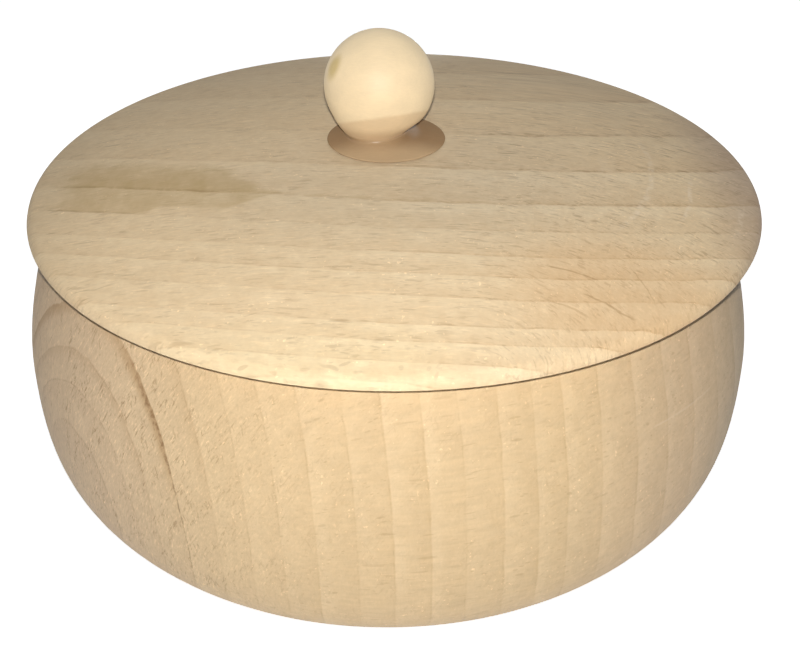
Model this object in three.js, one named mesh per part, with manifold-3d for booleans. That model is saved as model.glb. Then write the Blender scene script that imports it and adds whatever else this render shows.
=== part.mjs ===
// A round box turned from raw beech: a bulging bowl, a domed lid whose spigot drops into the
// bowl's mouth, and a ball knob glued into the lid by its tenon.
// Millimetres, +Z up. The origin is on the bowl's axis, in the plane of its base.
import * as THREE from 'three';
import { mergeVertices } from 'three/addons/utils/BufferGeometryUtils.js';
import Module from 'manifold-3d';

// Bowl, outside
const BASE_RADIUS = 38;
const BASE_ANGLE = THREE.MathUtils.degToRad(24); // how steeply the side leaves the base
const BELLY_RADIUS = 68.8;
const BELLY_HEIGHT = 39.3;
const RIM_RADIUS = 62.4;
const RIM_LEAN = THREE.MathUtils.degToRad(20); // how far the side leans in at the rim
const BOWL_HEIGHT = 66.2;

// Bowl, inside
const WALL = 7;
const RIM_WIDTH = 6.5;
const FLOOR_THICKNESS = 8;
const FLOOR_RADIUS = 24; // the flat of the floor, before it curves up
const MOUTH_DEPTH = 5.5; // the straight stretch that takes the lid's spigot

// Curve fullness: 0 is a straight run between the ends, 1 reaches the corner between them
const SIDE_FULLNESS = 0.52;
const FOOT_FULLNESS = 0.9;
const SHOULDER_FULLNESS = 0.3;

// Lid
const LID_RADIUS = 67.5;
const LID_CROWN = 10.6; // top of the dome above the seat face
const LID_EDGE = 1.9; // height of the dome at the edge, before it is rounded over
const LID_EDGE_ROUND = 2.3;
const SPIGOT_DEPTH = 4;
const SPIGOT_WIDTH = 6; // width of the raised ring that is the spigot
const DISH_DEPTH = 2.5; // the shallow hollow inside that ring

// Knob
const BALL_RADIUS = 10;
const NECK_RADIUS = 6.4;
const FOOT_RADIUS = 10.85;
const FOOT_EDGE = 0.5; // thickness of the foot's thin rim
const BALL_HEIGHT = 10.5; // centre of the ball above the underside of the foot
const TENON_RADIUS = 4;
const TENON_LENGTH = 8;
const KNOB_OFF_CENTRE = -1.5; // the socket was bored a little to the left of the lid's centre
const BALL_OFF_FOOT = -1.2; // and the ball was turned a little to the left of its foot

// Clearances
const REST_GAP = 0.3; // between faces that rest on each other, and round the glued tenon
const SEAT_PLAY = 1.5; // radial play of the spigot in the mouth

// Steps of the curves
const ROUND_STEPS = 64;
const KNOB_ROUND_STEPS = 32;
const CURVE_STEPS = 6;

// What follows from the sizes above
const MOUTH_RADIUS = RIM_RADIUS - RIM_WIDTH;
const SPIGOT_RADIUS = MOUTH_RADIUS - SEAT_PLAY;
const LID_HEIGHT = BOWL_HEIGHT + REST_GAP;
const LID_SHIFT = SEAT_PLAY - REST_GAP; // the loose lid lies pushed over to the right
const KNOB_HEIGHT = LID_CROWN + REST_GAP;

const wasm = await Module();
wasm.setup();

// Turns a closed outline of radius and height round the Z axis.
function turn(outline, steps) {
  const geometry = new THREE.LatheGeometry(outline.getPoints(CURVE_STEPS), steps);
  geometry.rotateX(Math.PI / 2);
  return geometry;
}

// Position of a point on the line from a to b.
function between(a, b, share) {
  return a + (b - a) * share;
}

function bowlOutline() {
  const path = new THREE.Path();
  path.moveTo(0, 0);
  path.lineTo(BASE_RADIUS, 0);
  addBowlOutside(path);
  path.lineTo(MOUTH_RADIUS, BOWL_HEIGHT);
  path.lineTo(MOUTH_RADIUS, BOWL_HEIGHT - MOUTH_DEPTH);
  addCavity(path);
  path.lineTo(0, FLOOR_THICKNESS);
  return path;
}

// From the base edge out to the belly, then in to the outer edge of the rim.
function addBowlOutside(path) {
  const footReach = between(BASE_RADIUS, BELLY_RADIUS, FOOT_FULLNESS);
  const footRise = (footReach - BASE_RADIUS) * Math.tan(BASE_ANGLE);
  const sideDrop = between(BELLY_HEIGHT, 0, SIDE_FULLNESS);
  path.bezierCurveTo(footReach, footRise, BELLY_RADIUS, sideDrop, BELLY_RADIUS, BELLY_HEIGHT);
  const shoulder = (BOWL_HEIGHT - BELLY_HEIGHT) * SHOULDER_FULLNESS;
  path.bezierCurveTo(
    BELLY_RADIUS,
    BELLY_HEIGHT + shoulder,
    RIM_RADIUS + shoulder * Math.sin(RIM_LEAN),
    BOWL_HEIGHT - shoulder * Math.cos(RIM_LEAN),
    RIM_RADIUS,
    BOWL_HEIGHT,
  );
}

// From the foot of the mouth out to the inner belly, then down and in to the flat of the floor.
function addCavity(path) {
  const innerBelly = BELLY_RADIUS - WALL;
  const seatFoot = BOWL_HEIGHT - MOUTH_DEPTH;
  const shoulder = (seatFoot - BELLY_HEIGHT) * SHOULDER_FULLNESS;
  path.bezierCurveTo(
    MOUTH_RADIUS,
    seatFoot - shoulder,
    innerBelly,
    BELLY_HEIGHT + shoulder,
    innerBelly,
    BELLY_HEIGHT,
  );
  const floorReach = between(FLOOR_RADIUS, innerBelly, FOOT_FULLNESS);
  const sideDrop = between(BELLY_HEIGHT, FLOOR_THICKNESS, SIDE_FULLNESS);
  path.bezierCurveTo(
    innerBelly,
    sideDrop,
    floorReach,
    FLOOR_THICKNESS,
    FLOOR_RADIUS,
    FLOOR_THICKNESS,
  );
}

// Heights here are above the lid's seat face, which lies over the bowl's rim.
function lidOutline() {
  const fall = LID_CROWN - LID_EDGE;
  const domeRadius = (LID_RADIUS ** 2 + fall ** 2) / (2 * fall);
  const domeCentre = LID_CROWN - domeRadius;
  const roundX = LID_RADIUS - LID_EDGE_ROUND;
  const roundY = domeCentre + Math.sqrt((domeRadius - LID_EDGE_ROUND) ** 2 - roundX ** 2);
  const domeEnd = Math.atan2(roundY - domeCentre, roundX);
  const dishRadius = SPIGOT_RADIUS - SPIGOT_WIDTH;
  const path = new THREE.Path();
  path.moveTo(0, DISH_DEPTH - SPIGOT_DEPTH);
  path.quadraticCurveTo(dishRadius, DISH_DEPTH - SPIGOT_DEPTH, dishRadius, -SPIGOT_DEPTH);
  path.lineTo(SPIGOT_RADIUS, -SPIGOT_DEPTH);
  path.lineTo(SPIGOT_RADIUS, 0);
  path.lineTo(LID_RADIUS, 0);
  path.absarc(roundX, roundY, LID_EDGE_ROUND, 0, domeEnd, false);
  path.absarc(0, domeCentre, domeRadius, domeEnd, Math.PI / 2, false);
  return path;
}

// Heights here are above the underside of the knob's foot.
function neckHeight() {
  return BALL_HEIGHT - Math.sqrt(BALL_RADIUS ** 2 - NECK_RADIUS ** 2);
}

function knobOutline() {
  const neck = neckHeight();
  const coveStart = between(FOOT_RADIUS, NECK_RADIUS, 0.7);
  const coveEnd = between(FOOT_EDGE, neck, 0.3);
  const path = new THREE.Path();
  path.moveTo(0, -TENON_LENGTH);
  path.lineTo(TENON_RADIUS, -TENON_LENGTH);
  path.lineTo(TENON_RADIUS, 0);
  path.lineTo(FOOT_RADIUS, 0);
  path.lineTo(FOOT_RADIUS, FOOT_EDGE);
  path.bezierCurveTo(coveStart, FOOT_EDGE, NECK_RADIUS, coveEnd, NECK_RADIUS, neck);
  path.absarc(0, BALL_HEIGHT, BALL_RADIUS, -Math.acos(NECK_RADIUS / BALL_RADIUS), Math.PI / 2, false);
  return path;
}

// Slides each level of the knob sideways: none at the foot, all of it from the neck up.
function setBallOffFoot(geometry) {
  const position = geometry.getAttribute('position');
  const neck = neckHeight();
  for (let i = 0; i < position.count; i += 1) {
    const share = THREE.MathUtils.smoothstep(position.getZ(i), FOOT_EDGE, neck);
    position.setX(i, position.getX(i) + BALL_OFF_FOOT * share);
  }
  return geometry;
}

function toSolid(geometry) {
  const bare = geometry.clone();
  bare.deleteAttribute('normal');
  bare.deleteAttribute('uv');
  const merged = mergeVertices(bare, 1e-4);
  const vertProperties = new Float32Array(merged.getAttribute('position').array);
  const triVerts = new Uint32Array(merged.getIndex().array);
  return new wasm.Manifold(new wasm.Mesh({ numProp: 3, vertProperties, triVerts }));
}

function toGeometry(solid) {
  const mesh = solid.getMesh();
  const geometry = new THREE.BufferGeometry();
  geometry.setAttribute('position', new THREE.BufferAttribute(mesh.vertProperties, 3));
  geometry.setIndex(new THREE.BufferAttribute(mesh.triVerts, 1));
  geometry.computeVertexNormals();
  return geometry;
}

// The blind hole in the lid's top that takes the knob's tenon.
function socketGeometry() {
  const top = LID_CROWN + REST_GAP;
  const bottom = KNOB_HEIGHT - TENON_LENGTH - REST_GAP;
  const radius = TENON_RADIUS + REST_GAP;
  const geometry = new THREE.CylinderGeometry(radius, radius, top - bottom, KNOB_ROUND_STEPS);
  geometry.rotateX(Math.PI / 2);
  geometry.translate(KNOB_OFF_CENTRE, 0, (top + bottom) / 2);
  return geometry;
}

function lidGeometry() {
  const disc = toSolid(turn(lidOutline(), ROUND_STEPS));
  return toGeometry(disc.subtract(toSolid(socketGeometry())));
}

function woodMesh(name, geometry, color) {
  const material = new THREE.MeshStandardMaterial({ color, roughness: 0.75, metalness: 0 });
  const mesh = new THREE.Mesh(geometry, material);
  mesh.name = name;
  return mesh;
}

const bowl = woodMesh('bowl', turn(bowlOutline(), ROUND_STEPS), 0xdcbe96);
const lid = woodMesh('lid', lidGeometry(), 0xd9bd92);
const knob = woodMesh('knob', setBallOffFoot(turn(knobOutline(), KNOB_ROUND_STEPS)), 0xf0d9b0);
knob.position.set(KNOB_OFF_CENTRE, 0, KNOB_HEIGHT);

const liftingLid = new THREE.Group();
liftingLid.position.set(LID_SHIFT, 0, LID_HEIGHT);
liftingLid.add(lid, knob);

const box = new THREE.Group();
box.add(bowl, liftingLid);

export default box;
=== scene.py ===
# A round box turned from raw beech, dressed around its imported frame: the bowl, the domed lid
# and the ball knob are turned again with fine steps and eased edges, in solid beech whose
# growth rings, rays and fibres run through the wood in three dimensions.
# Sizes are millimetres, as on a turner's drawing. The scene itself is in metres.
import math

import bpy
from mathutils import Matrix, Vector


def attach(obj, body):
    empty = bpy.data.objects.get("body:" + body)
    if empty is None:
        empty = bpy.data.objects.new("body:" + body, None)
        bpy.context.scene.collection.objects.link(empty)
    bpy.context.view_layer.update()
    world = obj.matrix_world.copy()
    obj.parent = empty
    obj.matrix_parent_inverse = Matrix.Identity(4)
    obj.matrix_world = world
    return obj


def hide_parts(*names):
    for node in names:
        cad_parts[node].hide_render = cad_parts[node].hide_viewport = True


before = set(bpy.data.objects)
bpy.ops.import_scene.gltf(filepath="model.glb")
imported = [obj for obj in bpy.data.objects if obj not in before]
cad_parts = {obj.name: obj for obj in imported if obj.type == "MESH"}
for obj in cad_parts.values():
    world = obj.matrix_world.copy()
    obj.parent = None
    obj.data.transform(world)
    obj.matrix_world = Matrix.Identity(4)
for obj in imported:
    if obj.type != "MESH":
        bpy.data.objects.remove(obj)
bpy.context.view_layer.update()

MM = 0.001

# Bowl, outside
BASE_RADIUS = 38.0
BASE_ANGLE = math.radians(24)
BELLY_RADIUS = 68.8
BELLY_HEIGHT = 39.3
RIM_RADIUS = 62.4
RIM_LEAN = math.radians(20)
BOWL_HEIGHT = 66.2

# Bowl, inside
WALL = 7.0
RIM_WIDTH = 6.5
FLOOR_THICKNESS = 8.0
FLOOR_RADIUS = 24.0
MOUTH_DEPTH = 5.5

# Curve fullness: 0 is a straight run between the ends, 1 reaches the corner between them
SIDE_FULLNESS = 0.52
FOOT_FULLNESS = 0.9
SHOULDER_FULLNESS = 0.3

# Lid
LID_RADIUS = 67.5
LID_CROWN = 10.6
LID_EDGE = 1.9
LID_EDGE_ROUND = 2.3
LID_BEVEL = 0.4
SPIGOT_DEPTH = 4.0
SPIGOT_WIDTH = 6.0
DISH_DEPTH = 2.5

# Knob, with heights above the underside of its foot
BALL_RADIUS = 10.0
BALL_HEIGHT = 10.5
NECK_BASE_RADIUS = 5.75
NECK_BASE_HEIGHT = 2.0
NECK_TOP_ANGLE = math.radians(-40)
COVE_WIDTH = 2.0
COVE_HEIGHT = 1.05
FOOT_RADIUS = 10.85
FOOT_BEVEL = 0.1
FOOT_EDGE = 0.28
FOOT_EDGE_LEAN = 0.2
TENON_RADIUS = 4.0
TENON_LENGTH = 8.0

# How far the knob's levels lie to the side, and the heights where the leaning starts and ends
KNOB_OFF_CENTRE = -1.5
BALL_OFF_FOOT = -1.2
NECK_OFF_FOOT = -2.1
LEAN_START = 0.8
LEAN_END = 6.0

# Eased edges, each rounded over by this length along both its sides
BASE_EASE = 0.9
RIM_EASE = 0.35
MOUTH_EASE = 0.4
MOUTH_FOOT_EASE = 0.3
DISH_EASE = 0.3
SPIGOT_EASE = 0.4
SPIGOT_ROOT_EASE = 0.2
TENON_EASE = 0.5
FOOT_EASE = 0.08

# Clearances
REST_GAP = 0.3
SEAT_PLAY = 1.5

# What follows from the sizes above
MOUTH_RADIUS = RIM_RADIUS - RIM_WIDTH
SPIGOT_RADIUS = MOUTH_RADIUS - SEAT_PLAY
LID_PLACE = Vector((SEAT_PLAY - REST_GAP, 0.0, BOWL_HEIGHT + REST_GAP))
KNOB_PLACE = LID_PLACE + Vector((KNOB_OFF_CENTRE, 0.0, LID_CROWN))
BALL_CENTRE = KNOB_PLACE + Vector((BALL_OFF_FOOT, 0.0, BALL_HEIGHT))

# How fine the turning is, how sharp an edge shows as a crease, and how near points are joined
BODY_ROUND_STEPS = 192
KNOB_ROUND_STEPS = 96
CREASE_ANGLE = math.radians(50)
SAME_POINT = 0.001


# Position of a value on the way from a to b.
def between(a, b, share):
    return a + (b - a) * share


def smooth_step(value, low, high):
    share = min(max((value - low) / (high - low), 0.0), 1.0)
    return share * share * (3.0 - 2.0 * share)


class Outline:
    """The cut-through shape of a turned piece, as (radius, height) points from axis to axis."""

    def __init__(self, radius, height):
        self.points = [Vector((radius, height))]
        self.eased = {}

    def line(self, radius, height, steps=1, ease=0.0):
        start = self.points[-1].copy()
        end = Vector((radius, height))
        for step in range(1, steps + 1):
            self.points.append(start.lerp(end, step / steps))
        if ease:
            self.eased[len(self.points) - 1] = ease

    def bend(self, first_pull, second_pull, end, steps, ease=0.0):
        a = self.points[-1].copy()
        b, c, d = Vector(first_pull), Vector(second_pull), Vector(end)
        for step in range(1, steps + 1):
            t = step / steps
            s = 1.0 - t
            self.points.append(a * s**3 + b * 3 * s * s * t + c * 3 * s * t * t + d * t**3)
        if ease:
            self.eased[len(self.points) - 1] = ease

    def arc(self, centre, radius, start, end, steps):
        for step in range(steps + 1):
            angle = between(start, end, step / steps)
            point = Vector(centre) + radius * Vector((math.cos(angle), math.sin(angle)))
            if (point - self.points[-1]).length > 1e-4:
                self.points.append(point)

    # The points, with each eased corner rounded over by the length given for it.
    def finished(self, corner_steps=4):
        done = []
        for i, corner in enumerate(self.points):
            ease = self.eased.get(i, 0.0)
            if not ease:
                done.append(corner)
                continue
            before = corner + (self.points[i - 1] - corner).normalized() * ease
            after = corner + (self.points[i + 1] - corner).normalized() * ease
            for step in range(corner_steps + 1):
                t = step / corner_steps
                done.append(before.lerp(corner, t).lerp(corner.lerp(after, t), t))
        return done


def bowl_outline():
    path = Outline(0, 0)
    path.line(BASE_RADIUS, 0, steps=12, ease=BASE_EASE)
    foot_reach = between(BASE_RADIUS, BELLY_RADIUS, FOOT_FULLNESS)
    foot_rise = (foot_reach - BASE_RADIUS) * math.tan(BASE_ANGLE)
    side_drop = between(BELLY_HEIGHT, 0, SIDE_FULLNESS)
    belly = (BELLY_RADIUS, BELLY_HEIGHT)
    path.bend((foot_reach, foot_rise), (BELLY_RADIUS, side_drop), belly, steps=24)
    shoulder = (BOWL_HEIGHT - BELLY_HEIGHT) * SHOULDER_FULLNESS
    rim_pull = Vector((math.sin(RIM_LEAN), -math.cos(RIM_LEAN))) * shoulder
    rim = Vector((RIM_RADIUS, BOWL_HEIGHT))
    over_belly = (BELLY_RADIUS, BELLY_HEIGHT + shoulder)
    path.bend(over_belly, rim + rim_pull, rim, steps=14, ease=RIM_EASE)
    path.line(MOUTH_RADIUS, BOWL_HEIGHT, ease=MOUTH_EASE)
    mouth_foot = BOWL_HEIGHT - MOUTH_DEPTH
    path.line(MOUTH_RADIUS, mouth_foot, ease=MOUTH_FOOT_EASE)
    inner_belly = BELLY_RADIUS - WALL
    pull = (mouth_foot - BELLY_HEIGHT) * SHOULDER_FULLNESS
    path.bend(
        (MOUTH_RADIUS, mouth_foot - pull),
        (inner_belly, BELLY_HEIGHT + pull),
        (inner_belly, BELLY_HEIGHT),
        steps=12,
    )
    floor_reach = between(FLOOR_RADIUS, inner_belly, FOOT_FULLNESS)
    inner_drop = between(BELLY_HEIGHT, FLOOR_THICKNESS, SIDE_FULLNESS)
    path.bend(
        (inner_belly, inner_drop),
        (floor_reach, FLOOR_THICKNESS),
        (FLOOR_RADIUS, FLOOR_THICKNESS),
        steps=24,
    )
    path.line(0, FLOOR_THICKNESS, steps=8)
    return [(p.x, 0.0, p.y) for p in path.finished()]


def dome():
    """Radius, centre height, edge round's centre, and the angle where that round meets the dome."""
    fall = LID_CROWN - LID_EDGE
    radius = (LID_RADIUS**2 + fall**2) / (2 * fall)
    centre = LID_CROWN - radius
    round_x = LID_RADIUS - LID_EDGE_ROUND
    round_y = centre + math.sqrt((radius - LID_EDGE_ROUND) ** 2 - round_x**2)
    return radius, centre, (round_x, round_y), math.atan2(round_y - centre, round_x)


# Heights here are above the lid's seat face.
def lid_outline():
    radius, centre, round_centre, dome_start = dome()
    dish_radius = SPIGOT_RADIUS - SPIGOT_WIDTH
    path = Outline(0, DISH_DEPTH - SPIGOT_DEPTH)
    path.bend(
        (dish_radius * 2 / 3, DISH_DEPTH - SPIGOT_DEPTH),
        (dish_radius, DISH_DEPTH / 3 - SPIGOT_DEPTH),
        (dish_radius, -SPIGOT_DEPTH),
        steps=20,
        ease=DISH_EASE,
    )
    path.line(SPIGOT_RADIUS, -SPIGOT_DEPTH, ease=SPIGOT_EASE)
    path.line(SPIGOT_RADIUS, 0, ease=SPIGOT_ROOT_EASE)
    path.line(LID_RADIUS - LID_BEVEL, 0)
    path.line(LID_RADIUS, LID_BEVEL)
    path.arc(round_centre, LID_EDGE_ROUND, 0, dome_start, steps=10)
    socket_radius = TENON_RADIUS + REST_GAP
    socket_start = math.acos(2 * socket_radius / radius)
    path.arc((0, centre), radius, dome_start, socket_start, steps=32)
    top = path.points[-1].y
    path.line(socket_radius, top)
    socket_floor = LID_CROWN - TENON_LENGTH - REST_GAP
    path.line(socket_radius, socket_floor)
    path.line(0, socket_floor)

    # The knob's blind socket lies off the lid's centre.
    levels = []
    for p in path.finished():
        in_socket = p.x <= socket_radius and p.y > 0
        levels.append((p.x, KNOB_OFF_CENTRE if in_socket else 0.0, p.y))
    return levels


# How far each level of the knob lies off the foot's axis: the neck leans out beyond the ball.
def knob_lean(height):
    to_neck = smooth_step(height, LEAN_START, NECK_BASE_HEIGHT)
    to_ball = smooth_step(height, NECK_BASE_HEIGHT, LEAN_END)
    return NECK_OFF_FOOT * to_neck + (BALL_OFF_FOOT - NECK_OFF_FOOT) * to_ball


# Heights here are above the underside of the knob's foot. The foot slopes up to a small cove
# round the neck, and the neck widens straight into the ball.
def knob_outline():
    path = Outline(0, -TENON_LENGTH)
    path.line(TENON_RADIUS, -TENON_LENGTH, ease=TENON_EASE)
    path.line(TENON_RADIUS, 0)
    path.line(FOOT_RADIUS - FOOT_BEVEL, 0)
    path.line(FOOT_RADIUS, FOOT_BEVEL)
    path.line(FOOT_RADIUS - FOOT_EDGE_LEAN, FOOT_EDGE, ease=FOOT_EASE)
    path.line(NECK_BASE_RADIUS + COVE_WIDTH, COVE_HEIGHT, steps=8)
    path.bend(
        (NECK_BASE_RADIUS + 0.9, 1.3),
        (NECK_BASE_RADIUS - 0.05, 1.5),
        (NECK_BASE_RADIUS + 0.15, NECK_BASE_HEIGHT + 0.15),
        steps=12,
    )
    neck_top = Vector((math.cos(NECK_TOP_ANGLE), math.sin(NECK_TOP_ANGLE))) * BALL_RADIUS
    path.line(neck_top.x, neck_top.y + BALL_HEIGHT, steps=6)
    path.arc((0, BALL_HEIGHT), BALL_RADIUS, NECK_TOP_ANGLE, math.pi / 2, steps=40)
    return [(p.x, knob_lean(p.y), p.y) for p in path.finished()]


class Nodes:
    """Adds nodes to a tree and joins each to the sockets or plain values it works on."""

    def __init__(self, tree):
        self.tree = tree

    def node(self, kind, inputs=(), **settings):
        node = self.tree.nodes.new(kind)
        for name, value in settings.items():
            setattr(node, name, value)
        for key, value in dict(inputs).items():
            if isinstance(value, bpy.types.NodeSocket):
                self.tree.links.new(value, node.inputs[key])
            else:
                node.inputs[key].default_value = value
        return node

    def out(self, kind, inputs=(), output=0, **settings):
        return self.node(kind, inputs, **settings).outputs[output]

    def math(self, operation, *values):
        return self.out("ShaderNodeMath", enumerate(values), operation=operation)

    def vector_math(self, operation, *values, output="Vector"):
        return self.out("ShaderNodeVectorMath", enumerate(values), output, operation=operation)

    def times(self, product, *factors):
        for factor in factors:
            product = self.math("MULTIPLY", product, factor)
        return product

    def stretched(self, vector, factors):
        return self.vector_math("MULTIPLY", vector, factors)

    # A place counted in units of the given sizes.
    def counted(self, place, sizes):
        return self.stretched(place, [1 / size for size in sizes])

    def length(self, vector):
        return self.vector_math("LENGTH", vector, output="Value")

    def dot(self, vector, direction):
        return self.vector_math("DOT_PRODUCT", vector, tuple(direction), output="Value")

    def join(self, x, y, z):
        return self.out("ShaderNodeCombineXYZ", {"X": x, "Y": y, "Z": z})

    def split(self, vector):
        return self.node("ShaderNodeSeparateXYZ", {"Vector": vector}).outputs

    # A smooth rise from 0 to 1 as the value goes from low to high.
    def rise(self, value, low, high):
        inputs = {"Value": value, "From Min": low, "From Max": high}
        return self.out("ShaderNodeMapRange", inputs, interpolation_type="SMOOTHSTEP")

    # A smooth rise from start to full, and a smooth fall from waning to end.
    def window(self, value, start, full, waning, end):
        return self.times(self.rise(value, start, full), self.rise(value, end, waning))

    # A value that goes from first to last as the share goes from 0 to 1.
    def grade(self, share, first, last):
        return self.math("MULTIPLY_ADD", share, last - first, first)

    # Colours are the mix node's sockets 6 and 7, and its output 2.
    def mix(self, share, a, b):
        return self.out("ShaderNodeMix", {0: share, 6: a, 7: b}, 2, data_type="RGBA")

    # A grey curve through (position, value) stops.
    def ramp(self, value, stops, interpolation="B_SPLINE"):
        node = self.node("ShaderNodeValToRGB", {"Fac": value})
        node.color_ramp.interpolation = interpolation
        elements = node.color_ramp.elements
        while len(elements) < len(stops):
            elements.new(0.5)
        for element, (position, grey) in zip(elements, stops):
            element.position = position
            element.color = (grey, grey, grey, 1.0)
        return node.outputs["Color"]

    # Which ring a distance from the pith falls in, from the distances where the rings end.
    def ring_at(self, distance, ends, first):
        reach = ends[-1] - ends[0]
        stops = [((end - ends[0]) / reach, i / (len(ends) - 1)) for i, end in enumerate(ends)]
        share = self.math("DIVIDE", self.math("SUBTRACT", distance, ends[0]), reach)
        share = self.ramp(share, stops, "LINEAR")
        return self.math("MULTIPLY_ADD", share, float(len(ends) - 1), first)

    # A number from 0 to 1 that belongs to a whole number.
    def chance(self, number):
        return self.out("ShaderNodeTexWhiteNoise", {"W": number}, noise_dimensions="1D")

    # Turns noise into a factor round 1 that swings by the strength.
    def swing(self, noise, strength):
        return self.math("MULTIPLY_ADD", self.math("SUBTRACT", noise, 0.5), strength, 1.0)

    # A colour made darker or lighter by a factor.
    def dim(self, colour, factor):
        return self.out("ShaderNodeVectorMath", {0: colour, "Scale": factor}, operation="SCALE")

    # A colour tinted by a share of the factors for red, green and blue.
    def tint(self, colour, share, factors):
        return self.mix(share, colour, self.vector_math("MULTIPLY", colour, factors))

    # Lens-shaped rays: one for each cell of the given size, from small to large shares of it.
    def rays(self, place, cell, small, large):
        place = self.vector_math("DIVIDE", place, cell)
        cells = self.node("ShaderNodeTexVoronoi", {"Vector": place, "Scale": 1.0}).outputs
        chance = self.split(cells["Color"])
        size = self.grade(chance[0], small, large)
        ray = self.rise(self.math("DIVIDE", cells["Distance"], size), 1.0, 0.6)
        return self.times(ray, self.grade(chance[1], 0.2, 1.0))

    # Noise from 0 to 1 in a place whose unit is one grain of the noise.
    def noise(self, place, detail, roughness=0.5):
        inputs = {"Vector": place, "Scale": 1.0, "Detail": detail, "Roughness": roughness}
        return self.out("ShaderNodeTexNoise", inputs)


# A grid with a row of points for each level of the outline, laid round the axis and closed.
def turned_shell(n, given):
    levels = n.out(
        "GeometryNodeAttributeDomainSize", {"Geometry": given["Outline"]}, component="CURVE"
    )
    columns = n.math("ADD", given["Steps round"], 1.0)
    grid = n.out("GeometryNodeMeshGrid", {"Vertices X": levels, "Vertices Y": columns})
    index = n.out("GeometryNodeInputIndex")
    level = n.math("FLOOR", n.math("DIVIDE", n.math("ADD", index, 0.5), columns))
    column = n.math("SUBTRACT", index, n.times(level, columns))
    angle = n.math("DIVIDE", n.times(column, math.tau), given["Steps round"])
    point = n.out(
        "GeometryNodeSampleIndex",
        {"Geometry": given["Outline"], "Value": n.out("GeometryNodeInputPosition"), "Index": level},
        data_type="FLOAT_VECTOR",
        domain="POINT",
    )
    radius, off_axis, height = n.split(point)
    across = n.math("ADD", n.times(radius, n.math("COSINE", angle)), off_axis)
    away = n.times(radius, n.math("SINE", angle))
    turned = n.vector_math("ADD", n.join(across, away, height), given["Place"])
    shell = n.out("GeometryNodeSetPosition", {"Geometry": grid, "Position": turned})
    shell = n.out("GeometryNodeMergeByDistance", {"Geometry": shell, "Distance": SAME_POINT * MM})
    return n.out("GeometryNodeFlipFaces", {"Mesh": shell})


# Smooth shading, apart from edges that bend by more than the crease angle.
def smoothed(n, shell, crease_angle):
    shell = n.out("GeometryNodeSetShadeSmooth", {"Geometry": shell, "Shade Smooth": True})
    bend = n.out("GeometryNodeInputMeshEdgeAngle")
    creased = n.out(
        "FunctionNodeCompare",
        {0: bend, 1: crease_angle},
        data_type="FLOAT",
        operation="GREATER_THAN",
    )
    return n.out(
        "GeometryNodeSetShadeSmooth",
        {"Geometry": shell, "Selection": creased, "Shade Smooth": False},
        domain="EDGE",
    )


def make_turned_piece():
    """The tree that turns an outline round the Z axis. Each outline point holds its radius in X,
    its height in Z, and in Y how far its level lies off the axis."""
    tree = bpy.data.node_groups.new("turned piece", "GeometryNodeTree")
    face = tree.interface
    face.new_socket("Outline", in_out="INPUT", socket_type="NodeSocketGeometry")
    steps = face.new_socket("Steps round", in_out="INPUT", socket_type="NodeSocketInt")
    steps.default_value = BODY_ROUND_STEPS
    face.new_socket("Place", in_out="INPUT", socket_type="NodeSocketVector")
    face.new_socket("Crease angle", in_out="INPUT", socket_type="NodeSocketFloat")
    face.new_socket("Wood", in_out="INPUT", socket_type="NodeSocketMaterial")
    face.new_socket("Piece", in_out="OUTPUT", socket_type="NodeSocketGeometry")
    n = Nodes(tree)
    given = n.node("NodeGroupInput").outputs
    shell = smoothed(n, turned_shell(n, given), given["Crease angle"])
    shell = n.out("GeometryNodeRealizeInstances", {"Geometry": shell})
    shell = n.out("GeometryNodeSetMaterial", {"Geometry": shell, "Material": given["Wood"]})
    n.node("NodeGroupOutput", {"Piece": shell})
    return tree


def set_input(modifier, name, value):
    for item in modifier.node_group.interface.items_tree:
        if item.in_out == "INPUT" and item.name == name:
            modifier[item.identifier] = value


def turn(name, outline, steps, place, wood):
    """A turned piece as a plain mesh, at its place in the row frame."""
    curve = bpy.data.curves.new(name + " outline", "CURVE")
    curve.dimensions = "3D"
    spline = curve.splines.new("POLY")
    spline.points.add(len(outline) - 1)
    for point, (radius, off_axis, height) in zip(spline.points, outline):
        point.co = (radius * MM, off_axis * MM, height * MM, 1.0)
    drawn = bpy.data.objects.new(name + " outline", curve)
    bpy.context.collection.objects.link(drawn)
    modifier = drawn.modifiers.new("turning", "NODES")
    modifier.node_group = TURNED_PIECE
    set_input(modifier, "Steps round", steps)
    set_input(modifier, "Place", place * MM)
    set_input(modifier, "Crease angle", CREASE_ANGLE)
    set_input(modifier, "Wood", wood)
    depsgraph = bpy.context.evaluated_depsgraph_get()
    mesh = bpy.data.meshes.new_from_object(drawn.evaluated_get(depsgraph), depsgraph=depsgraph)
    mesh.name = name
    drawn.modifiers.remove(modifier)
    bpy.data.objects.remove(drawn)
    piece = bpy.data.objects.new(name, mesh)
    bpy.context.collection.objects.link(piece)
    return piece


# Beech
# The bowl's block was cut so that its rings run round a pith far out to the left and below,
# with the grain standing nearly upright. Each distance is where one ring ends.
BOWL_PITH = Vector((-94.83, 0.0, -196.81))
BOWL_GRAIN = Vector((0.0247, 1.0, -3.0249)).normalized()
BOWL_MIDDLE_RING = 105.0
BOWL_FIRST_RING = -8.0
BOWL_RING_ENDS = [52.2, 55.16, 58.05, 60.94, 65.15, 70.34, 75.39, 80.52, 85.92, 92.23, 98.03]
BOWL_RING_ENDS += [104.04, 109.57, 115.78, 121.37, 126.39, 132.77, 139.54, 145.85, 152.24]
BOWL_RING_ENDS += [159.18, 165.9, 172.3, 178.8, 185.2, 191.7]

# On the left the turning tore short strokes that slant across the grain in two ways. Each is
# its slant in degrees, its width and its length. Round and inward are the ways that lead along
# the side and into it there.
TORN_STROKES = ((-24, 0.3, 1.8), (18, 0.3, 2.0))
TORN_STROKE_DEPTH = 3.0
TORN_SIDE_ROUND = Vector((-0.742, 0.671, 0.0))
TORN_SIDE_INWARD = Vector((0.671, 0.742, 0.0))

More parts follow.
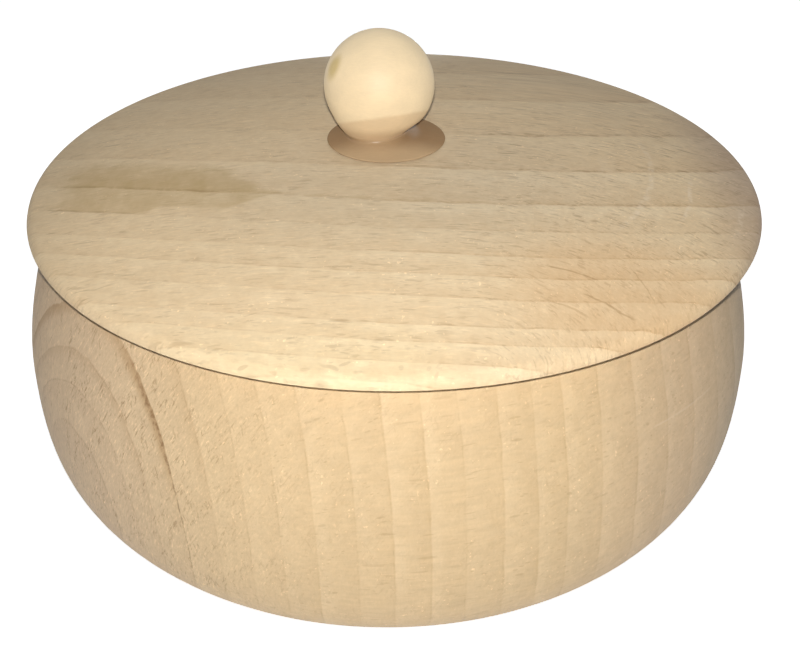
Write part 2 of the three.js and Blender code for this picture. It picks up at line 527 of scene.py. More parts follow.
# High on the left one ring ends in a brown streak, and the rings beside it in fainter ones:
# the ring, and how brown it is. The streak has a ragged dark core. The heights are where the
# streaks and the core begin, are full, start to fade and end.
STREAK_RING = -4.0
STREAKS = ((STREAK_RING, 0.5), (STREAK_RING - 1, 0.16), (STREAK_RING + 1, 0.12))
STREAK_HEIGHTS = (34.0, 52.0, 58.0, 70.0)
STREAK_CORE_HEIGHTS = (43.0, 53.0, 55.0, 63.0)

# A faint scratch runs nearly level on the right: its left end, its length and its fall.
SCRATCH_START = 42.4
SCRATCH_HEIGHT = 48.8
SCRATCH_LENGTH = 13.5
SCRATCH_FALL = 0.8

# The lid is a flat-sawn board: its rings lie nearly level, dip to the front and get narrower.
LID_PITH = Vector((0.0, 123.11, 98.02))
LID_PITH_RUN = Vector((1.0, -0.7994, 2.0207)).normalized()
LID_RADIAL = Vector((-0.0328, -0.3962, -0.9182)).normalized()
LID_FIRST_RING = -3.0
LID_RING_ENDS = [46.0, 66.0, 85.5, 103.21, 120.04, 133.52, 145.03, 152.9, 159.77, 165.11]
LID_RING_ENDS += [170.53, 176.87, 180.53, 185.0, 188.8, 193.0]

# Towards the lid's right end its fibres swing to the front, and more so near the front edge.
LID_FRONT = -68.0
LID_SWING_START = 14.0
LID_SWING_END = 60.0
LID_SWING = 42.0
LID_SWING_SOFTNESS = 20.0
LID_SWING_SLANT = -0.8

# The size of the lid's torn strokes across, into and along the wood, and how the second kind
# slants to the first.
LID_STROKE = (0.45, 1.5, 3.6)
LID_CROSSING_STROKE = (0.6, 2.0, 6.0)
LID_CROSSING_SLANT = 0.07

# The lid's long tears: the place across the fibres, the drift, the first and last place along
# them, and the strength.
LID_TEARS = (
    (35.4, 0.06, 30.4, 47.3, 0.45),
    (33.1, 0.08, 42.4, 61.1, 0.45),
    (29.6, 0.08, 31.1, 44.9, 0.3),
    (41.4, -0.27, 57.6, 68.2, 0.3),
)

# A stain crept in along the lid's rings from the left. Its dark cores are given as the end of
# a ring, and the left and right ends of the core.
STAIN_RING = 3.0
STAIN_CORES = ((STAIN_RING, -56.0, -26.0), (STAIN_RING + 1, -58.0, -42.0))

# Oval patches of the lid: the middle of each, and its reach to the side and to the front.
DULL_PATCH = (4, -17), (44, 28)
WARM_PATCH = (38, -46), (22, 17)

# Pale arcs left by sanding on the lathe: radius, width, first and last angle, strength.
SANDING_ARCS = (
    (47.2, 0.8, -36.0, 8.0, 0.35),
    (54.6, 0.6, -23.0, -6.0, 0.5),
    (63.8, 0.7, -21.0, -12.0, 0.4),
    (39.0, 2.0, -24.0, -5.0, 0.12),
)

# The knob, seen from the ball's centre: the way that the edge of its darker wood faces, and
# the place of its olive smudge.
DARKER_EDGE_FACES = (-0.142, 0.365, 0.92)
SMUDGE_PLACE = (-8.0, -3.6, 4.8)

# Tone through one ring: pale after its edge, then slowly darker.
RING_TONE = [(0.0, 1.0), (0.2, 0.92), (0.36, 0.6), (0.6, 0.42), (0.85, 0.28), (1.0, 0.1)]

# Waves in the edges of the rings: their length round the rings, across them and along the
# grain, and how far they reach, as a share of a ring.
RING_WAVES = (((9, 9, 30), 0.2), ((3, 3, 6), 0.13), ((0.8, 0.8, 1.6), 0.05))

# The same three lengths for the other features of the figure.
CONTRAST_PATCHES = (5, 5, 9)
MOTTLE = (2.0, 2.0, 2.4)
LINE_DASHES = (1.0, 3.0, 1.8)
CLOUDS = (14, 14, 30)
SILK = (0.7, 5.0, 0.7)
BROAD_SILK = (1.5, 9.0, 3.0)
FLOCKS = (4, 4, 6)
FINE_FIBRES = (0.35, 0.35, 2.2)
SPECKS = (0.6, 0.6, 0.65)
RAY_SWAY = (12, 12, 12)

# Rays: the cell that holds one, and the smallest and largest share of it that the ray fills.
LONG_RAYS = (0.8, 34.0, 9.0), 0.06, 0.30
BROAD_RAYS = (0.42, 34.0, 4.5), 0.08, 0.30
SHORT_RAYS = (0.3, 12.0, 1.9), 0.12, 0.32

BEECH_VECTORS = ("Wood place", "Stroke place", "Crossing place", "Ray size")
BEECH_COLOURS = ("Early wood", "Late wood", "Ring line", "Ray")
BEECH_NUMBERS = (
    "Ring wander",
    "Ring strength",
    "Early share",
    "Line strength",
    "Line start",
    "Ray strength",
    "Silk strength",
    "Fibre strength",
    "Speck strength",
)


def rgb(red, green, blue):
    """A colour written as it looks on a screen, 0 to 255, for a linear socket."""
    values = [v / 255 for v in (red, green, blue)]
    linear = [v / 12.92 if v <= 0.04045 else ((v + 0.055) / 1.055) ** 2.4 for v in values]
    return (*linear, 1.0)


# Colours of the marks in the wood
STREAK_BROWN = rgb(166, 128, 82)
STREAK_CORE_BROWN = rgb(118, 84, 48)
SCRATCH_PALE = rgb(236, 218, 188)
STAIN_BROWN = rgb(186, 158, 110)
STAIN_CORE_BROWN = rgb(132, 98, 56)
TEAR_BROWN = rgb(140, 106, 68)
WARM_WOOD = rgb(214, 168, 114)
SANDED_PALE = rgb(240, 224, 202)
SMUDGE_OLIVE = rgb(203, 176, 104)

# Colours of the knob, from the ball down
BALL_PALE = rgb(244, 223, 187)
BALL_TAN = rgb(229, 203, 165)
NECK_TAN = rgb(212, 183, 146)
FOOT_FRONT = rgb(187, 159, 124)
# Painted shade under the ball, for the back of the foot
FOOT_PAINTED_SHADE = rgb(156, 126, 93)


class Figure:
    """The figure of beech, one method for each of its features."""

    def __init__(self, n, given):
        self.n = n
        self.given = given
        self.patches = n.rise(self.noise(CONTRAST_PATCHES, 2.0), 0.36, 0.64)
        self.flocks = n.rise(self.noise(FLOCKS, 2.0), 0.4, 0.62)

    def noise(self, size, detail, roughness=0.5):
        return self.n.noise(self.n.counted(self.given["Wood place"], size), detail, roughness)

    # Ring edges wander, in long waves, short waves and a fine jaggedness.
    def wandered_ring(self):
        n, ring = self.n, self.given["Ring"]
        for size, reach in RING_WAVES:
            wave = n.math("SUBTRACT", self.noise(size, 1.0), 0.5)
            ring = n.math("ADD", ring, n.times(wave, self.given["Ring wander"], reach))
        return ring

    # Each ring has its own contrast, which also comes and goes along it.
    def rings(self, ring, through):
        n = self.n
        own = n.grade(n.chance(n.math("ROUND", ring)), 0.5, 1.2)
        contrast = n.times(own, n.grade(self.patches, 0.6, 1.3), self.given["Ring strength"])
        tone = n.ramp(n.math("POWER", through, self.given["Early share"]), RING_TONE)
        tone = n.times(tone, n.rise(through, -0.02, 0.045))
        tone = n.math("MULTIPLY_ADD", n.math("SUBTRACT", tone, 0.5), contrast, 0.5)
        mottle = n.math("SUBTRACT", self.noise(MOTTLE, 3.0, 0.7), 0.5)
        tone = n.math("MULTIPLY_ADD", mottle, 1.2, tone)
        return n.mix(tone, self.given["Late wood"], self.given["Early wood"])

    # The dark line that ends each ring, broken into dashes.
    def ring_lines(self, colour, through):
        n = self.n
        line = n.times(n.rise(through, self.given["Line start"], 0.985), n.rise(through, 1.0, 0.99))
        dashes = n.rise(self.noise(LINE_DASHES, 1.0), 0.42, 0.62)
        line = n.times(line, n.grade(dashes, 0.15, 1.0), n.grade(self.patches, 0.25, 1.0))
        return n.mix(n.times(line, self.given["Line strength"]), colour, self.given["Ring line"])

    # Silk: soft light and dark streaks that run across the rings, under broad clouds of tone.
    def silk(self):
        n = self.n
        broad = n.math("SUBTRACT", self.noise(BROAD_SILK, 1.0), 0.5)
        silk = n.math("MULTIPLY_ADD", broad, 0.5, self.noise(SILK, 1.0))
        clouds = n.swing(self.noise(CLOUDS, 2.0), 0.1)
        return n.times(clouds, n.swing(silk, self.given["Silk strength"]))

    # How deep the wood is torn by short strokes, in loose flocks, and how pale their lips are.
    def torn_strokes(self):
        n = self.n
        stroke = n.noise(self.given["Stroke place"], 2.0, 0.6)
        crossing = n.noise(self.given["Crossing place"], 2.0, 0.6)
        torn = n.math("MAXIMUM", n.rise(stroke, 0.58, 0.66), n.rise(crossing, 0.6, 0.68))
        torn = n.times(torn, n.grade(self.flocks, 0.15, 1.0))
        lips = n.times(n.rise(stroke, 0.42, 0.32), 0.35)
        return torn, n.math("MULTIPLY_ADD", lips, self.given["Fibre strength"], 1.0)

    # Small pale specks, in the same flocks as the strokes.
    def specks(self):
        n = self.n
        specks = n.times(n.rise(self.noise(SPECKS, 1.0), 0.68, 0.74), self.flocks)
        return n.math("MULTIPLY_ADD", specks, self.given["Speck strength"], 1.0)

    # Rays: thin ribbons that run across the rings, seen as flecks where the cut goes along them.
    def rays(self):
        n = self.n
        sway = n.grade(self.noise(RAY_SWAY, 1.0), -1.5, 1.5)
        place = n.vector_math("ADD", self.given["Wood place"], n.join(sway, 0.0, 0.0))
        place = n.vector_math("DIVIDE", place, self.given["Ray size"])
        ray = n.math("MAXIMUM", n.rays(place, *LONG_RAYS), n.rays(place, *BROAD_RAYS))
        ray = n.math("MAXIMUM", ray, n.times(n.rays(place, *SHORT_RAYS), 0.6))
        return n.times(ray, self.given["Ray strength"])


def make_beech():
    """The figure of beech as a group. Wood place holds millimetres round, across and along the
    grain. Stroke place and Crossing place run along torn fibres, with one unit to a stroke."""
    tree = bpy.data.node_groups.new("beech", "ShaderNodeTree")
    face = tree.interface
    for name in BEECH_VECTORS:
        face.new_socket(name, in_out="INPUT", socket_type="NodeSocketVector")
    face.new_socket("Ring", in_out="INPUT", socket_type="NodeSocketFloat")
    for name in BEECH_COLOURS:
        face.new_socket(name, in_out="INPUT", socket_type="NodeSocketColor")
    for name in BEECH_NUMBERS:
        face.new_socket(name, in_out="INPUT", socket_type="NodeSocketFloat")
    face.new_socket("Colour", in_out="OUTPUT", socket_type="NodeSocketColor")
    face.new_socket("Height", in_out="OUTPUT", socket_type="NodeSocketFloat")
    face.new_socket("Wandered ring", in_out="OUTPUT", socket_type="NodeSocketFloat")
    n = Nodes(tree)
    given = n.node("NodeGroupInput").outputs
    figure = Figure(n, given)
    ring = figure.wandered_ring()
    through = n.math("FRACT", ring)
    colour = figure.ring_lines(figure.rings(ring, through), through)

    torn, lips = figure.torn_strokes()
    fine = figure.noise(FINE_FIBRES, 2.0, 0.7)
    fine_strength = n.grade(given["Fibre strength"], 0.09, 0.59)
    shade = n.times(figure.silk(), n.times(lips, n.swing(fine, fine_strength)), figure.specks())
    colour = n.mix(n.times(torn, given["Fibre strength"]), colour, given["Ray"])
    ray = figure.rays()
    colour = n.mix(ray, n.dim(colour, shade), given["Ray"])

    height = n.math("MULTIPLY_ADD", torn, -0.3, n.times(fine, 0.4))
    height = n.math("SUBTRACT", height, n.times(ray, 0.4))
    n.node("NodeGroupOutput", {"Colour": colour, "Height": height, "Wandered ring": ring})
    return tree


def millimetres(n):
    return n.counted(n.out("ShaderNodeTexCoord", output="Object"), (MM, MM, MM))


def new_wood(name, roughness, diffuse_roughness=0.27):
    material = bpy.data.materials.new(name)
    material.use_nodes = True
    shader = material.node_tree.nodes["Principled BSDF"]
    shader.inputs["Roughness"].default_value = roughness
    shader.inputs["Specular IOR Level"].default_value = 0.35
    shader.inputs["Diffuse Roughness"].default_value = diffuse_roughness
    return material, Nodes(material.node_tree), shader


def dress(n, shader, colour, height, depth=0.05):
    """Puts colour and a fine raised grain, depth in millimetres, on the shader."""
    n.tree.links.new(colour, shader.inputs["Base Color"])
    raised = n.out("ShaderNodeBump", {"Height": height, "Strength": 1.0, "Distance": depth * MM})
    n.tree.links.new(raised, shader.inputs["Normal"])


# The bowl's place round, across and along its grain.
def bowl_wood_place(n, whole):
    place = n.vector_math("SUBTRACT", whole, tuple(BOWL_PITH))
    sideways = (Vector((1, 0, 0)) - BOWL_GRAIN * BOWL_GRAIN.x).normalized()
    upright = BOWL_GRAIN.cross(sideways)
    x, y, along = [n.dot(place, way) for way in (sideways, upright, BOWL_GRAIN)]
    from_pith = n.length(n.join(x, y, 0.0))
    round_pith = n.times(n.math("ARCTAN2", y, x), BOWL_MIDDLE_RING)
    return round_pith, from_pith, along


# A place counted in torn strokes: across them, along them and into the side.
def torn_stroke_place(n, whole, slant, width, length):
    slant = math.radians(slant)
    run = Vector((0, 0, 1)) * math.cos(slant) + TORN_SIDE_ROUND * math.sin(slant)
    across = run.cross(TORN_SIDE_INWARD)
    parts = (across / width, run / length, TORN_SIDE_INWARD / TORN_STROKE_DEPTH)
    return n.join(*[n.dot(whole, part) for part in parts])


def brown_streaks(n, colour, whole, ring):
    x, _, z = n.split(whole)
    ragged = n.noise(n.stretched(whole, (0.5, 0.5, 0.3)), 3.0, 0.7)
    level = n.math("MULTIPLY_ADD", ragged, 8.0, n.math("SUBTRACT", z, 4.0))
    for end, strength in STREAKS:
        band = n.window(ring, end - 0.36, end - 0.06, end, end + 0.04)
        band = n.times(band, n.window(level, *STREAK_HEIGHTS), strength)
        colour = n.mix(band, colour, STREAK_BROWN)

    # The core is widest in the middle of its height and worn away in places.
    width = n.times(n.window(level, *STREAK_CORE_HEIGHTS), n.grade(ragged, -0.14, 0.46))
    width = n.math("MULTIPLY_ADD", n.rise(z, 22.0, 44.0), 0.03, width)
    core_start = n.math("SUBTRACT", STREAK_RING, width)
    core = n.rise(ring, core_start, n.math("MULTIPLY_ADD", width, 0.5, core_start))
    core = n.times(core, n.rise(ring, STREAK_RING + 0.03, STREAK_RING))
    worn = n.noise(n.stretched(whole, (1.3, 1.3, 0.9)), 3.0, 0.7)
    core = n.times(core, n.rise(worn, 0.36, 0.6), n.rise(level, 62.0, 55.0))
    core = n.times(core, n.rise(x, -58.0, -54.0), 0.6)
    return n.mix(core, colour, STREAK_CORE_BROWN)


def level_scratch(n, colour, whole):
    x, y, z = n.split(whole)
    along = n.math("DIVIDE", n.math("SUBTRACT", x, SCRATCH_START), SCRATCH_LENGTH)
    off = n.math("SUBTRACT", z, SCRATCH_HEIGHT)
    off = n.math("ABSOLUTE", n.math("MULTIPLY_ADD", along, SCRATCH_FALL, off))
    scratch = n.times(n.rise(off, 0.25, 0.1), n.window(along, 0.0, 0.15, 0.9, 1.0))
    scratch = n.times(scratch, n.rise(y, 0.0, -1.0), 0.2)
    return n.mix(scratch, colour, SCRATCH_PALE)


def make_bowl_wood():
    material, n, shader = new_wood("beech of the bowl", 0.62)
    whole = millimetres(n)
    x, _, z = n.split(whole)
    round_pith, from_pith, along = bowl_wood_place(n, whole)
    left = n.rise(x, -5.0, -45.0)
    torn = n.times(left, n.grade(n.rise(x, -50.0, -60.0), 1.0, 0.6))
    values = {
        "Wood place": n.join(round_pith, from_pith, along),
        "Stroke place": torn_stroke_place(n, whole, *TORN_STROKES[0]),
        "Crossing place": torn_stroke_place(n, whole, *TORN_STROKES[1]),
        "Ray size": (1.0, 0.22, 0.16),
        "Ring": n.ring_at(from_pith, BOWL_RING_ENDS, BOWL_FIRST_RING),
        "Early wood": rgb(216, 191, 153),
        "Late wood": n.mix(left, rgb(205, 178, 138), rgb(204, 178, 142)),
        "Ring line": rgb(128, 92, 54),
        "Ray": rgb(146, 110, 70),
        "Ring wander": 0.6,
        "Ring strength": n.grade(left, 0.85, 0.7),
        "Early share": n.grade(left, 1.0, 1.8),
        "Line strength": n.grade(left, 0.15, 0.3),
        "Line start": 0.94,
        "Ray strength": 0.24,
        "Silk strength": n.grade(left, 0.18, 0.1),
        "Fibre strength": n.grade(torn, 0.1, 0.58),
        "Speck strength": 0.25,
    }
    beech = n.node("ShaderNodeGroup", values, node_tree=BEECH).outputs
    colour = brown_streaks(n, beech["Colour"], whole, beech["Wandered ring"])
    colour = level_scratch(n, colour, whole)

    # Round both sides the colour is greyer, a painted sheen of grazing light; it is duller at the
    # right end, and paler towards the base, painted light thrown up from the floor.
    # Painted grey sheen round both sides
    colour = n.tint(colour, n.rise(n.math("ABSOLUTE", x), 25.0, 55.0), (1.0, 1.0, 1.09))
    colour = n.tint(colour, n.rise(x, 50.0, 68.0), (0.82, 0.86, 0.9))
    # Painted light from the floor, paler towards the base
    colour = n.tint(colour, n.rise(z, 26.0, 6.0), (1.07, 1.07, 1.09))
    dress(n, shader, colour, beech["Height"])
    return material


# The lid's place across and along its fibres, which run level from the left and swing to the
# front on the right.
def swung_fibres(n, x, y):
    past = n.math("MAXIMUM", n.math("SUBTRACT", x, LID_SWING_START), 0.0)
    behind = n.math("SUBTRACT", y, LID_FRONT)
    squared = n.math("MULTIPLY_ADD", behind, behind, LID_SWING_SOFTNESS**2)
    cubed = n.math("POWER", squared, 1.5)
    cubed = n.math("MULTIPLY_ADD", n.math("POWER", past, 2.0), LID_SWING, cubed)
    across = n.math("POWER", cubed, 1 / 3)
    swung = n.times(y, n.rise(x, LID_SWING_START, LID_SWING_END))
    return across, n.math("MULTIPLY_ADD", swung, LID_SWING_SLANT, x)


# The stain lies between an upper and a lower edge, both ragged, that meet in a point.
def lid_stain(n, colour, x, ring, ragged, blotches):
    upper = n.math("SUBTRACT", ring, STAIN_RING)
    upper = n.math("MULTIPLY_ADD", n.rise(x, -18.0, -32.0), 0.85, upper)
    upper = n.math("MULTIPLY_ADD", ragged, 0.5, upper)
    lower = n.math("SUBTRACT", STAIN_RING, ring)
    lower = n.math("MULTIPLY_ADD", n.rise(x, -18.0, -29.0), 0.66, lower)
    lower = n.math("MULTIPLY_ADD", n.rise(x, -39.0, -43.0), 0.34, lower)
    lower = n.math("MULTIPLY_ADD", ragged, 0.15, lower)
    stain = n.times(n.rise(upper, -0.15, 0.25), n.rise(lower, -0.06, 0.1))
    stain = n.times(stain, n.rise(n.math("MULTIPLY_ADD", ragged, 8.0, x), -63.0, -55.0))
    to_core = n.window(ring, STAIN_RING - 0.8, STAIN_RING - 0.03, STAIN_RING - 0.01, STAIN_RING)
    strength = n.math("MULTIPLY_ADD", to_core, 0.22, n.grade(blotches, 0.12, 0.72))
    colour = n.mix(n.times(stain, strength), colour, STAIN_BROWN)
    for end, left_end, right_end in STAIN_CORES:
        core = n.window(ring, end - 0.1, end - 0.03, end - 0.015, end)
        core = n.times(core, n.window(x, left_end - 4.0, left_end, right_end - 5.0, right_end))
        core = n.times(core, n.rise(blotches, 0.25, 0.6), 0.28)
        colour = n.mix(core, colour, STAIN_CORE_BROWN)
    return colour


def long_tears(n, colour, x, across, along, ragged, blotches):
    for start, drift, first, last, strength in LID_TEARS:
        off = n.math("SUBTRACT", across, start)
        off = n.math("MULTIPLY_ADD", n.math("SUBTRACT", along, first), -drift, off)
        off = n.math("ABSOLUTE", n.math("MULTIPLY_ADD", ragged, 0.8, off))
        tear = n.times(n.rise(off, 0.2, 0.06), n.rise(blotches, 0.15, 0.4))
        tear = n.times(tear, n.window(along, first - 1.0, first + 2.0, last - 2.0, last + 1.0))
        tear = n.times(tear, n.rise(x, LID_SWING_START, LID_SWING_START + 1.0), strength)
        colour = n.mix(tear, colour, TEAR_BROWN)
    return colour


# How far a place lies inside an oval patch: 0 outside, 1 in its middle.
def in_patch(n, place, patch, core):
    middle, reach = patch
    off = n.vector_math("SUBTRACT", place, (*middle, 0))
    off = n.stretched(off, (1 / reach[0], 1 / reach[1], 0))
    return n.rise(n.length(off), 1.2, core)


# The middle of the lid is duller, the front right warmer, both ends darker, and the front paler
# with a painted highlight.
def lid_patches(n, colour, place):
    x, y, _ = n.split(place)
    colour = n.tint(colour, in_patch(n, place, DULL_PATCH, 0.2), (0.87, 0.89, 0.93))
    warm = n.times(in_patch(n, place, WARM_PATCH, 0.4), 0.3)
    colour = n.mix(warm, colour, WARM_WOOD)
    colour = n.tint(colour, n.rise(x, 52.0, 68.0), (0.7, 0.68, 0.74))
    colour = n.tint(colour, n.rise(x, -50.0, -66.0), (0.9, 0.9, 0.9))
    # Painted highlight along the front edge
    front = n.times(n.rise(y, -50.0, -66.0), n.rise(x, 16.0, 0.0))
    return n.tint(colour, front, (1.04, 1.07, 1.06))


# The sanding arcs, broken and a little off the lathe's centre.
def sanding_arcs(n, colour, place):
    right, away, _ = n.split(n.vector_math("SUBTRACT", place, tuple(LID_PLACE)))
    angle = n.times(n.math("ARCTAN2", away, right), 180 / math.pi)
    radius = n.length(n.join(right, away, 0.0))
    drift = n.noise(n.stretched(place, (0.08, 0.08, 0.08)), 1.0)
    radius = n.math("MULTIPLY_ADD", drift, 1.5, n.math("SUBTRACT", radius, 0.75))
    broken = n.rise(n.noise(n.stretched(place, (0.7, 0.7, 0.7)), 3.0, 0.7), 0.4, 0.6)
    for middle, width, first, last, strength in SANDING_ARCS:
        off = n.math("ABSOLUTE", n.math("SUBTRACT", radius, middle))
        arc = n.window(angle, first - 6.0, first + 6.0, last - 6.0, last + 6.0)
        arc = n.times(n.rise(off, width, width * 0.3), arc, n.times(broken, strength))
        colour = n.mix(arc, colour, SANDED_PALE)
    return colour


def make_lid_wood():
    material, n, shader = new_wood("beech of the lid", 0.6)
    place = millimetres(n)
    x, y, _ = n.split(place)
    beside_pith = n.vector_math("SUBTRACT", place, tuple(LID_PITH))
    beside_pith = n.vector_math("CROSS_PRODUCT", beside_pith, tuple(LID_PITH_RUN))
    across, along = swung_fibres(n, x, y)
    depth = n.dot(place, LID_RADIAL)
    wood_place = n.join(across, depth, along)
    slanted = n.join(n.math("MULTIPLY_ADD", along, LID_CROSSING_SLANT, across), depth, along)
    to_right = n.rise(x, -30.0, 45.0)
    dashed = n.times(to_right, n.rise(y, -52.0, -30.0))
    ray_strength = n.grade(n.rise(y, 45.0, -15.0), 0.1, 0.22)
    values = {
        "Wood place": wood_place,
        "Stroke place": n.counted(wood_place, LID_STROKE),
        "Crossing place": n.counted(slanted, LID_CROSSING_STROKE),
        "Ray size": (1.0, 1.0, 1.0),
        "Ring": n.ring_at(n.length(beside_pith), LID_RING_ENDS, LID_FIRST_RING),
        "Early wood": rgb(233, 211, 176),
        "Late wood": rgb(218, 191, 153),
        "Ring line": rgb(140, 103, 66),
        "Ray": rgb(126, 92, 58),
        "Ring wander": 0.8,
        "Ring strength": n.grade(to_right, 0.45, 0.95),
        "Early share": 1.3,
        "Line strength": n.grade(to_right, 0.14, 0.42),
        "Line start": 0.92,
        "Ray strength": n.math("MULTIPLY_ADD", dashed, 0.26, ray_strength),
        "Silk strength": 0.05,
        "Fibre strength": n.grade(dashed, 0.21, 0.31),
        "Speck strength": 0.25,
    }
    beech = n.node("ShaderNodeGroup", values, node_tree=BEECH).outputs
    ragged = n.noise(n.stretched(place, (0.16, 0.5, 0.5)), 3.0, 0.6)
    ragged = n.math("SUBTRACT", ragged, 0.5)
    blotches = n.noise(n.stretched(place, (0.45, 0.25, 0.25)), 2.0)
    colour = lid_stain(n, beech["Colour"], x, beech["Wandered ring"], ragged, blotches)
    colour = long_tears(n, colour, x, across, along, ragged, blotches)
    colour = sanding_arcs(n, lid_patches(n, colour, place), place)
    dress(n, shader, colour, beech["Height"])
    return material


def make_knob_wood():
    material, n, shader = new_wood("beech of the knob", 0.42, 0.4)
    place = n.vector_math("SUBTRACT", millimetres(n), tuple(BALL_CENTRE))
    _, away, height = n.split(place)

    # Below a slanting edge the ball, neck and foot are darker wood.
    wave = n.noise(n.stretched(place, (0.3, 0.3, 0.3)), 1.0)
    level = n.math("ADD", n.dot(place, DARKER_EDGE_FACES), n.grade(wave, -0.15, 0.15))
    tan = n.math("MAXIMUM", n.rise(level, -5.35, -6.15), n.rise(height, -6.8, -8.2))
    colour = n.mix(tan, BALL_PALE, BALL_TAN)
    # Down the neck the colour grows darker towards its base.
    colour = n.mix(n.rise(height, -4.6, -8.4), colour, NECK_TAN)

    # The foot is duller wood still, with painted shade under the ball that is darkest behind the
    # neck. Its top has a glint, its rim none.
    foot = n.rise(height, -8.0, -8.7)
    # Painted shade: the back of the foot, under the ball, is darker
    back = n.rise(away, -8.5, -2.5)
    colour = n.mix(foot, colour, n.mix(back, FOOT_FRONT, FOOT_PAINTED_SHADE))
    roughness = n.grade(n.rise(height, -7.5, -8.5), 0.5, 0.3)
    roughness = n.math("MULTIPLY_ADD", n.rise(height, -9.1, -9.4), 0.57, roughness)
    n.tree.links.new(roughness, shader.inputs["Roughness"])

    # An olive smudge high on the left.
    smudge = n.vector_math("SUBTRACT", place, SMUDGE_PLACE)
    smudge = n.rise(n.length(n.stretched(smudge, (0.6, 0.6, 0.4))), 1.5, 0.4)
    colour = n.mix(n.times(smudge, 0.65), colour, SMUDGE_OLIVE)

    # Soft clouds of tone and a fine grain that runs level.
    clouds = n.noise(n.stretched(place, (0.2, 0.35, 0.35)), 2.0)
    grain = n.noise(n.stretched(place, (0.7, 3.5, 3.5)), 2.0)
    shade = n.times(n.swing(clouds, 0.16), n.swing(grain, 0.1))
    dress(n, shader, n.dim(colour, shade), grain, 0.03)
    return material


TURNED_PIECE = make_turned_piece()
BEECH = make_beech()

bowl = turn("turned_bowl", bowl_outline(), BODY_ROUND_STEPS, Vector((0, 0, 0)), make_bowl_wood())
lid = turn("turned_lid", lid_outline(), BODY_ROUND_STEPS, LID_PLACE, make_lid_wood())
knob = turn("turned_knob", knob_outline(), KNOB_ROUND_STEPS, KNOB_PLACE, make_knob_wood())
for piece, body, node in ((bowl, "bowl", "bowl"), (lid, "lid", "lid"), (knob, "lid", "knob")):
    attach(piece, body)
    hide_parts(node)


# Camera, where the photographer's phone was
CAMERA_PLACE = Vector((1.2, -238.0, 182.5))
CAMERA_DOWN = math.radians(31.531)
CAMERA_RIGHT = math.radians(0.245)
CAMERA_TILT = math.radians(0.04)
CAMERA_LENS = 63.0
CAMERA_SENSOR = 36.0
CAMERA_NEAREST = 10.0

# White paper under the box: half its width, its colour, and what it glows where it is seen
PAPER_REACH = 3000.0
PAPER_COLOUR = (0.8, 0.805, 0.83, 1.0)
PAPER_GLOW = 0.95

# The room: the colour and strength of its light, and how bright it and the paper are in the
# wood's sheen
ROOM_COLOUR = (0.93, 0.97, 1.0, 1.0)
ROOM_LIGHT = 0.02
MIRRORED_ROOM = 0.75
WHITE = (1.0, 1.0, 1.0, 1.0)

# Lamps: name, place, aim, size, power and colour
LAMPS = (
    ("phone flash", (1, -232.5, 191.5), (0, 0, 50), 5, 0.585, (1.0, 0.99, 0.95)),
    ("ceiling lamp", (0, 0, 700), (0, 0, 40), 400, 0.38, (0.96, 0.98, 1.0)),
    ("low back lamp", (0, 230, 20), (0, 68, 45), 36, 0.2, (1.0, 0.98, 0.95)),
)


def add_camera():
    data = bpy.data.cameras.new("camera")
    data.lens = CAMERA_LENS
    data.sensor_width = CAMERA_SENSOR
    data.clip_start = CAMERA_NEAREST * MM
    camera = bpy.data.objects.new("camera", data)
    turn_right = Matrix.Rotation(-CAMERA_RIGHT, 4, "Z")
    look_down = Matrix.Rotation(math.pi / 2 - CAMERA_DOWN, 4, "X")
    tilt = Matrix.Rotation(-CAMERA_TILT, 4, "Z")
    camera.matrix_world = Matrix.Translation(CAMERA_PLACE * MM) @ turn_right @ look_down @ tilt
    bpy.context.collection.objects.link(camera)
    bpy.context.scene.camera = camera


def add_lamp(name, place, aim, size, power, colour):
    """A soft square lamp. Place, aim and size are millimetres, power is watts."""
    data = bpy.data.lights.new(name, "AREA")
    data.size = size * MM
    data.energy = power
    data.color = colour
    lamp = bpy.data.objects.new(name, data)
    towards = (Vector(aim) - Vector(place)).to_track_quat("-Z", "Y").to_matrix().to_4x4()
    lamp.matrix_world = Matrix.Translation(Vector(place) * MM) @ towards
    bpy.context.collection.objects.link(lamp)


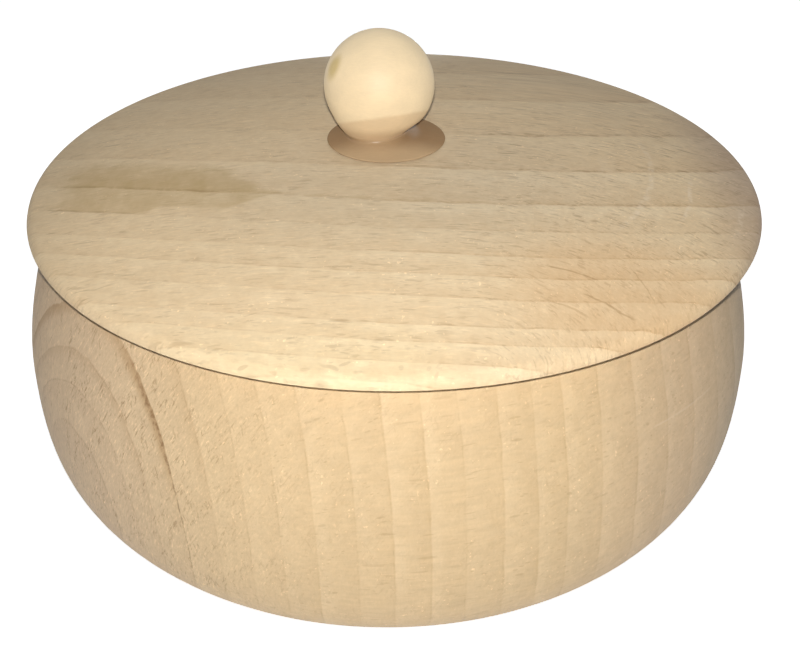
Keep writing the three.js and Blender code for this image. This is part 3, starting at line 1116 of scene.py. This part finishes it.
def add_floor():
    mesh = bpy.data.meshes.new("floor")
    reach = PAPER_REACH * MM
    corners = [(-reach, -reach, 0), (reach, -reach, 0), (reach, reach, 0), (-reach, reach, 0)]
    mesh.from_pydata(corners, [], [(0, 1, 2, 3)])
    floor = bpy.data.objects.new("floor", mesh)
    bpy.context.collection.objects.link(floor)
    material = bpy.data.materials.new("white paper")
    material.use_nodes = True
    n = Nodes(material.node_tree)
    material.node_tree.nodes.remove(material.node_tree.nodes["Principled BSDF"])
    paper = n.out("ShaderNodeBsdfDiffuse", {"Color": PAPER_COLOUR})
    glow = n.out("ShaderNodeEmission", {"Color": WHITE, "Strength": PAPER_GLOW})
    rays = n.node("ShaderNodeLightPath").outputs
    mirrored = n.times(rays["Is Glossy Ray"], MIRRORED_ROOM)
    seen = n.math("MAXIMUM", rays["Is Camera Ray"], mirrored)
    dark = n.out("ShaderNodeEmission", {"Strength": 0.0})
    lit = n.out("ShaderNodeMixShader", {0: seen, 1: dark, 2: glow})
    both = n.out("ShaderNodeAddShader", {0: paper, 1: lit})
    end = material.node_tree.nodes["Material Output"]
    n.tree.links.new(both, end.inputs["Surface"])
    mesh.materials.append(material)


def light_world():
    """An even room that lights softly, looks white where it is seen and pale in a mirror."""
    world = bpy.data.worlds.new("room")
    bpy.context.scene.world = world
    world.use_nodes = True
    n = Nodes(world.node_tree)
    world.node_tree.nodes.clear()
    soft = n.out("ShaderNodeBackground", {"Color": ROOM_COLOUR, "Strength": ROOM_LIGHT})
    white = n.out("ShaderNodeBackground", {"Color": WHITE, "Strength": 1.0})
    rays = n.node("ShaderNodeLightPath").outputs
    seen = n.math("MAXIMUM", rays["Is Camera Ray"], rays["Is Transmission Ray"])
    seen = n.math("MAXIMUM", seen, n.times(rays["Is Glossy Ray"], MIRRORED_ROOM))
    both = n.out("ShaderNodeMixShader", {0: seen, 1: soft, 2: white})
    n.node("ShaderNodeOutputWorld", {"Surface": both})


add_camera()
add_floor()
light_world()
for lamp in LAMPS:
    add_lamp(*lamp)
bpy.context.scene.view_settings.view_transform = "Standard"
